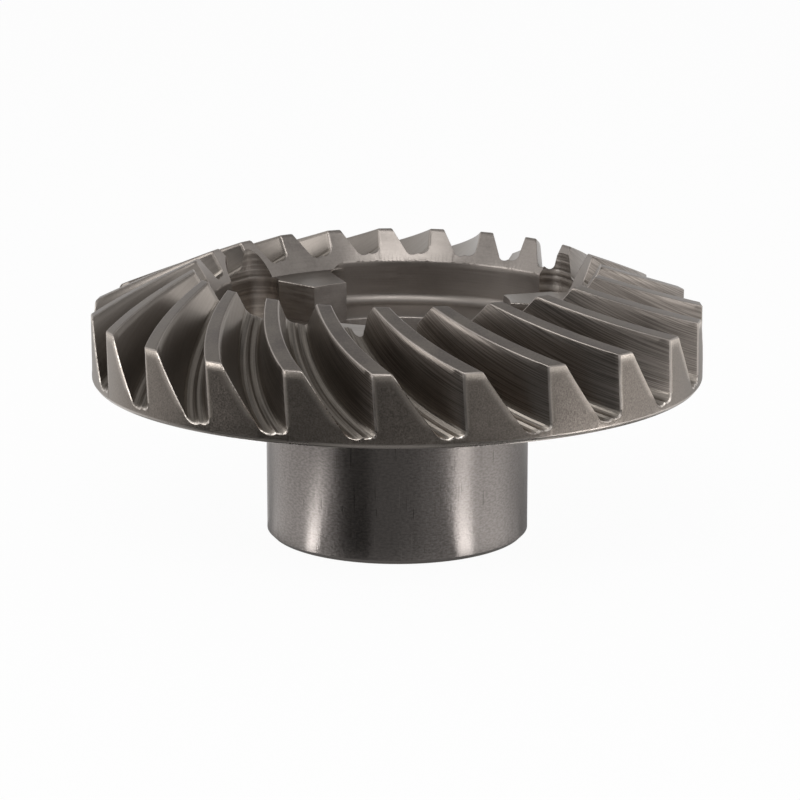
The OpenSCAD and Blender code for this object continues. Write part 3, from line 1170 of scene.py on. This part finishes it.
@dataclass
class ReverseGear:
    """The whole gear as one dressed piece."""

    blank: Blank = field(default_factory=Blank)
    sharp_angle: float = 50.0
    ridge_angle: float = 18.0

    def build(self) -> bpy.types.Object:
        """Builds the gear's mesh.

        Returns:
            The gear, with a material slot for each surface.
        """
        shell = Shell()
        teeth = ToothRing(self.blank, FaceMill(self.blank))
        heel_ring, toe_ring = teeth.build(shell)
        LOG.info("tooth ring: %d points", shell.count)
        HubAndBore(self.blank).build(shell, heel_ring, toe_ring)
        LOG.info("hub and bore: %d points in all", shell.count)
        gear = bpy.data.objects.new("dressed_gear", shell.mesh("dressed_gear"))
        bpy.context.scene.collection.objects.link(gear)
        for surface in Surface:
            gear.data.materials.append(FINISHES[surface].make())
        dogs = ClutchDogs(self.blank)
        for cutter in (dogs.space_cutter(), dogs.pocket_cutter(), dogs.mouth_cutter()):
            cut_away(gear, cutter)
        self._shade(gear)
        self._measure(gear.data, teeth)
        self._outline(gear.data, teeth)
        return gear

    def _shade(self, gear: bpy.types.Object) -> None:
        """Shades the gear smooth, with the broken edges round and the true corners sharp.

        Args:
            gear: The gear.
        """
        work = bmesh.new()
        work.from_mesh(gear.data)
        rounded = {Surface.EDGE.value, Surface.BREAK.value}
        for face in work.faces:
            face.smooth = True
        for edge in work.edges:
            kinds = frozenset(f.material_index for f in edge.link_faces)
            border = len(kinds) == 2 and not kinds & rounded
            limit = self.ridge_angle if kinds == {Surface.ROOT.value} else self.sharp_angle
            edge.smooth = not border and edge.calc_face_angle(math.pi) < math.radians(limit)
        work.to_mesh(gear.data)
        work.free()
        modifier = gear.modifiers.new("flat_faces", "WEIGHTED_NORMAL")
        modifier.keep_sharp = True
        apply_modifiers(gear)

    def _measure(self, mesh: bpy.types.Mesh, teeth: ToothRing) -> None:
        """Stores how the tool marks run, as a UV map in millimetres along and across them.

        Args:
            mesh: The gear's mesh.
            teeth: The tooth ring, which knows the mill.
        """
        sizes = gathered(mesh.polygons, "loop_total", kind=int)
        kind = np.repeat(gathered(mesh.polygons, "material_index", kind=int), sizes)
        middle = np.repeat(polar(gathered(mesh.polygons, "center", 3) / MM)[1], sizes)
        steep = np.repeat(np.abs(gathered(mesh.polygons, "normal", 3)[:, 2]) < STEEP, sizes)
        points = (gathered(mesh.vertices, "co", 3) / MM)[gathered(mesh.loops, "vertex_index", kind=int)]
        radius, angle, height = polar(points)
        start = (middle + math.pi / 2 + math.pi) % (2 * math.pi) - math.pi
        angle = start + (angle + math.pi / 2 - start + math.pi) % (2 * math.pi) - math.pi
        marks = np.stack([radius * angle, height - radius], axis=-1)
        toe = kind == Surface.TOE.value
        marks[toe, 1] = (height + radius)[toe]
        level = steep & np.isin(kind, [Surface.DOG.value, Surface.POCKET.value])
        marks[level, 1] = height[level]
        milled = np.isin(kind, [Surface.CONVEX.value, Surface.CONCAVE.value, Surface.ROOT.value])
        marks[milled] = self._along_gaps(points[milled], middle[milled], teeth.mill)
        layer = mesh.uv_layers.new(name=MARKS)
        layer.data.foreach_set("uv", marks.reshape(-1).astype(np.float32))

    def _along_gaps(self, points: Array, middle: Array, mill: FaceMill) -> Array:
        """Measures points of the tooth gaps along and across the mill's way.

        Args:
            points: Corners of faces that the mill cut.
            middle: Direction of the middle of each corner's face, from the axis.
            mill: The mill.

        Returns:
            The two measures of each point. Each gap has its own part of the pattern.
        """
        first = math.radians(self.blank.gap_angle)
        gap = np.round((middle - first) / self.blank.pitch)
        best = np.full(len(points), FAR)
        marks = np.zeros((len(points), 2))
        x, y, z = points.T
        for number in (gap + shift for shift in range(-GAPS_TRIED, GAPS_TRIED + 1)):
            turn = -(first + self.blank.pitch * number)
            local = np.stack([x * np.cos(turn) - y * np.sin(turn), x * np.sin(turn) + y * np.cos(turn), z], axis=-1)
            offset, rise, sweep = mill.find(local)
            bounds = [np.abs(offset - mill.offset(s, np.maximum(rise, 0))) for s in Side]
            root = np.where(rise < mill.tip_r, np.maximum(np.abs(offset) - mill.point_w / 2, 0), FAR)
            miss = np.minimum(np.minimum(*bounds), root)
            near = miss < best
            best[near] = miss[near]
            marks[near] = np.stack([mill.radius * sweep + GAP_STEP * number, rise + offset], axis=-1)[near]
        return marks

    def _outline(self, mesh: bpy.types.Mesh, teeth: ToothRing) -> None:
        """Stores how far each point lies from the left, right and top edge of its tooth's heel, in millimetres.

        Args:
            mesh: The gear's mesh.
            teeth: The tooth ring, which knows the edges.
        """
        blank, rows = self.blank, teeth.flank_rows
        _, a, z = polar(teeth.outline(True))
        radius, angle, height = polar(gathered(mesh.vertices, "co", 3) / MM)
        foot = np.maximum(height, z[rows - 1])
        left = np.interp(foot, z[:rows][::-1], a[:rows][::-1])
        right = np.interp(foot, z[-rows:], a[-rows:]) + blank.pitch
        from_left = (angle - math.radians(blank.gap_angle) - left) % blank.pitch
        from_left[from_left > blank.pitch - SEAM] = 0.0
        lean = math.cos(math.atan2((a[-1] - a[-rows]) * blank.outer_r, z[-1] - z[-rows]))
        # Below the gaps the rim goes on without a band.
        below = BAND_FADE * np.maximum(z[rows - 1] - height, 0)
        from_right = np.abs(right - left - from_left)
        outline = np.stack([
            from_left * radius + below, from_right * radius * lean + below, blank.heel_z - height], axis=-1)
        values = mesh.attributes.new(OUTLINE, "FLOAT_VECTOR", "POINT")
        values.data.foreach_set("vector", outline.reshape(-1).astype(np.float32))


@dataclass(frozen=True)
class Softbox:
    """A plain soft lamp, placed by direction from the gear."""

    name: str
    azimuth: float
    elevation: float
    width: float
    height: float
    brightness: float
    distance: float = 0.6
    aim_z: float = 0.025

    def light(self) -> None:
        """Hangs the lamp and points it at the gear."""
        lamp = bpy.data.lights.new(self.name, "AREA")
        lamp.shape, lamp.size, lamp.size_y = "RECTANGLE", self.width, self.height
        lamp.energy = self.brightness * math.pi * self.width * self.height
        hung = bpy.data.objects.new(self.name, lamp)
        way = heading(self.azimuth, self.elevation)
        hung.location = Vector((0, 0, self.aim_z)) + way * self.distance
        hung.rotation_euler = way.to_track_quat("Z", "Y").to_euler()
        hung.visible_camera = False
        bpy.context.scene.collection.objects.link(hung)


@dataclass(frozen=True)
class Card:
    """A glowing card on the floor, seen only in reflections, where it paints a reflection: shade where it is dark, a
    highlight where it is bright.

    With a bend of 2 it lies along the rays that a round upright face sends down to the floor, and shows on that
    face as an upright band between two angles. With a bend of 1 it is a piece of a ring round the gear's axis.
    """

    radius: float
    start: float
    end: float
    near: float
    far: float
    grey: float
    lift: float = 0.05
    bend: float = 2.0
    points: int = 25

    def corners(self) -> list[tuple[float, float, float]]:
        """Draws the card's outline.

        Returns:
            The corners in metres, out along the far side and back along the near side.
        """
        rows = []
        for reach in (self.near, self.far):
            rows.append([
                ((self.radius * math.sin(a) + reach * math.sin(self.bend * a)) * MM,
                 -(self.radius * math.cos(a) + reach * math.cos(self.bend * a)) * MM, self.lift * MM)
                for a in np.radians(np.linspace(self.start, self.end, self.points))])
        return rows[1] + rows[0][::-1]


# Each row below is a card's two angles, its two distances from the face that mirrors it in millimetres, and its
# brightness. Cards that lie one over another are lifted apart. The cards are painted reflections: bright ones paint
# highlights, dark ones painted shade.
# Painted reflections on the journal: the bright cards paint its upright highlight streaks, and the dark ones painted
# shade between them.
JOURNAL_PAINTED_REFLECTIONS = (
    (-80, -71, 2, 80, 0.3),
    (-56, -43, 2, 80, 0.8),
    (-43, -37, 2, 16, 5.8),
    (-43, -37, 16, 80, 0.25),
    (-37, -12, 2, 80, 0.03),
    (-12, 6, 2, 80, 0.22),
    (6, 20, 2, 80, 0.1),
    (20, 27, 2, 80, 0.12),
    (27, 34.5, 2, 18, 5.4),
    (27, 34.5, 40, 66, 8.0),
    (34.5, 57, 2, 18, 1.1),
    (34.5, 57, 50, 66, 1.8),
    (59, 67, 2, 60, 0.6),
    (67, 85, 2, 60, 0.2),
)
# Painted shadow: a dark ring round the hub's foot, which the journal and its chamfer mirror in place of the gear's
# contact shadow on the floor.
HUB_PAINTED_SHADOW = (-100, 100, -2.5, 2, 0.25)
# Painted shadow: dark rings under the rim, which its chamfer mirrors in place of the gear's shadow on the floor.
RIM_PAINTED_SHADOWS = (
    (-62, 26, 0, 5, 0.4),
    (-140, -62, -2, 8, 0.42),
    (26, 140, -4, 10, 0.2),
)
# Painted reflections on the heels: the brighter cards paint highlights, the dark ones painted shade.
HEEL_PAINTED_REFLECTIONS = (
    (-85, -74, 55, 150, 0.6),
    (-62, -42, 55, 150, 0.5),
    (-42, -25, 55, 150, 0.06),
    (-25, 8, 55, 150, 0.08),
    (8, 26, 55, 150, 0.3),
    (26, 42, 55, 150, 0.3),
    (42, 68, 55, 150, 0.75),
    (68, 85, 55, 150, 0.5),
    (-50, 30, 150, 600, 0.06),
)
RING_LIFT, HEEL_LIFT = 0.08, 0.03
RING_BEND = 1.0
CARDS: tuple[Card, ...] = (
    *(Card(Blank.hub_r, *band) for band in JOURNAL_PAINTED_REFLECTIONS),
    Card(Blank.hub_r, *HUB_PAINTED_SHADOW, bend=RING_BEND),
    *(Card(Blank.outer_r, *ring, RING_LIFT, RING_BEND) for ring in RIM_PAINTED_SHADOWS),
    *(Card(Blank.outer_r, *band, HEEL_LIFT) for band in HEEL_PAINTED_REFLECTIONS),
)


@dataclass
class Studio:
    """The floor, the room, the lamps and the camera.

    Azimuths run from the camera towards its right, in degrees like the tilt. The camera's yaw is in radians.
    """

    lamps: tuple[Softbox, ...] = (
        Softbox("front_top", -15, 55, 0.75, 0.35, 0.6),
        Softbox("front_strip", -7, 47, 0.5, 0.2, 3.1),
        Softbox("right_side", 88, 12, 0.3, 0.2, 1.3),
        Softbox("left_side", -70, 16, 0.34, 0.2, 2.6),
        Softbox("left_back", -105, 36, 0.35, 0.2, 0.6),
    )
    cards: tuple[Card, ...] = CARDS
    horizon: float = 1.0
    zenith: float = 0.3
    zenith_from: float = 0.85
    dark_azimuth: float = -25.0
    dark_elevation: float = 10.0
    dark_edge: tuple[float, float] = (0.6, 0.9)
    dark_level: float = 0.05
    floor_glow: float = 0.96
    floor_size: float = 6.0
    camera_place: tuple[float, float, float] = (0.0, -0.40728, 0.11598)
    camera_tilt: float = 76.45
    camera_yaw: float = -0.0009
    lens: float = 141.14
    sensor: float = 36.0
    clip: tuple[float, float] = (0.01, 20.0)

    def build(self) -> None:
        """Sets up the studio."""
        for lamp in self.lamps:
            lamp.light()
        self._world()
        self._floor()
        for number, card in enumerate(self.cards):
            self._card(number, card)
        self._camera()
        bpy.context.scene.view_settings.view_transform = "Standard"

    def _world(self) -> None:
        """Fills the room with soft light, bright near the floor and dark round the camera."""
        world = bpy.data.worlds.new("studio")
        world.use_nodes = True
        tree = world.node_tree
        dark = tuple(heading(self.dark_azimuth, self.dark_elevation))
        way = node(tree, "ShaderNodeTexCoord")
        parts = node(tree, "ShaderNodeSeparateXYZ", {0: way.outputs["Generated"]})
        height = ranged(tree, parts.outputs[2], (0.0, self.zenith_from), (self.horizon, self.zenith))
        toward = node(tree, "ShaderNodeVectorMath", {0: way.outputs["Generated"], 1: dark}, operation="DOT_PRODUCT")
        shade = ranged(tree, toward.outputs["Value"], self.dark_edge, (1.0, self.dark_level),
                       interpolation_type="SMOOTHSTEP")
        level = maths(tree, "MULTIPLY", height, shade)
        tree.nodes["Background"].inputs["Color"].default_value = (1, 1, 1, 1)
        tree.links.new(level, tree.nodes["Background"].inputs["Strength"])
        bpy.context.scene.world = world

    def _sheet(self, name: str, corners: list[tuple[float, float, float]]) -> bpy.types.Object:
        """Lays a flat stage piece.

        Args:
            name: The piece's name.
            corners: Its corners in metres.

        Returns:
            The piece.
        """
        mesh = bpy.data.meshes.new(name)
        mesh.from_pydata(corners, [], [tuple(range(len(corners)))])
        piece = bpy.data.objects.new(name, mesh)
        bpy.context.scene.collection.objects.link(piece)
        return piece

    def _floor(self) -> None:
        """Lays a white floor that keeps the gear's shadow."""
        half = self.floor_size / 2
        floor = self._sheet("floor", [(-half, -half, 0), (half, -half, 0), (half, half, 0), (-half, half, 0)])
        made = empty_material("white_paper")
        tree = made.node_tree
        rays = node(tree, "ShaderNodeLightPath").outputs
        seen = maths(tree, "MAXIMUM", rays["Is Camera Ray"], rays["Is Glossy Ray"])
        seen = maths(tree, "MAXIMUM", seen, rays["Is Transmission Ray"])
        share = maths(tree, "MULTIPLY", seen, self.floor_glow)
        paper = node(tree, "ShaderNodeBsdfDiffuse", {"Color": linear("#f4f4f4")})
        white = node(tree, "ShaderNodeEmission", {"Color": (1, 1, 1, 1), "Strength": 1.0})
        mixed = node(tree, "ShaderNodeMixShader", {0: share, 1: paper.outputs[0], 2: white.outputs[0]})
        node(tree, "ShaderNodeOutputMaterial", {"Surface": mixed.outputs[0]})
        floor.data.materials.append(made)

    def _card(self, number: int, card: Card) -> None:
        """Lays a card that paints shade or a highlight into what the gear's faces mirror.

        Args:
            number: The card's number.
            card: Where it lies and how bright it is.
        """
        piece = self._sheet(f"painted_reflection_card_{number}", card.corners())
        made = empty_material(f"painted_reflection_card_{number}")
        grey = node(made.node_tree, "ShaderNodeEmission", {"Color": (1, 1, 1, 1), "Strength": card.grey})
        node(made.node_tree, "ShaderNodeOutputMaterial", {"Surface": grey.outputs[0]})
        piece.data.materials.append(made)
        piece.visible_camera = piece.visible_diffuse = piece.visible_shadow = piece.visible_transmission = False

    def _camera(self) -> None:
        """Puts the camera where the photograph was taken from."""
        camera = bpy.data.objects.new("camera", bpy.data.cameras.new("camera"))
        camera.data.sensor_width, camera.data.lens = self.sensor, self.lens
        camera.data.clip_start, camera.data.clip_end = self.clip
        camera.location = self.camera_place
        camera.rotation_euler = (math.radians(self.camera_tilt), 0.0, self.camera_yaw)
        bpy.context.scene.collection.objects.link(camera)
        bpy.context.scene.camera = camera


def main() -> None:
    """Builds the studio and the gear, hides the imported part, and notes the dressed gear's size."""
    logging.basicConfig(level=logging.INFO, format="%(name)s: %(message)s")
    Studio().build()
    LOG.info("studio is set")
    gear = ReverseGear().build()
    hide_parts(NODE)
    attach(gear, "root")
    LOG.info("dressed gear: %d faces", len(gear.data.polygons))


if __name__ == "__main__":
    main()
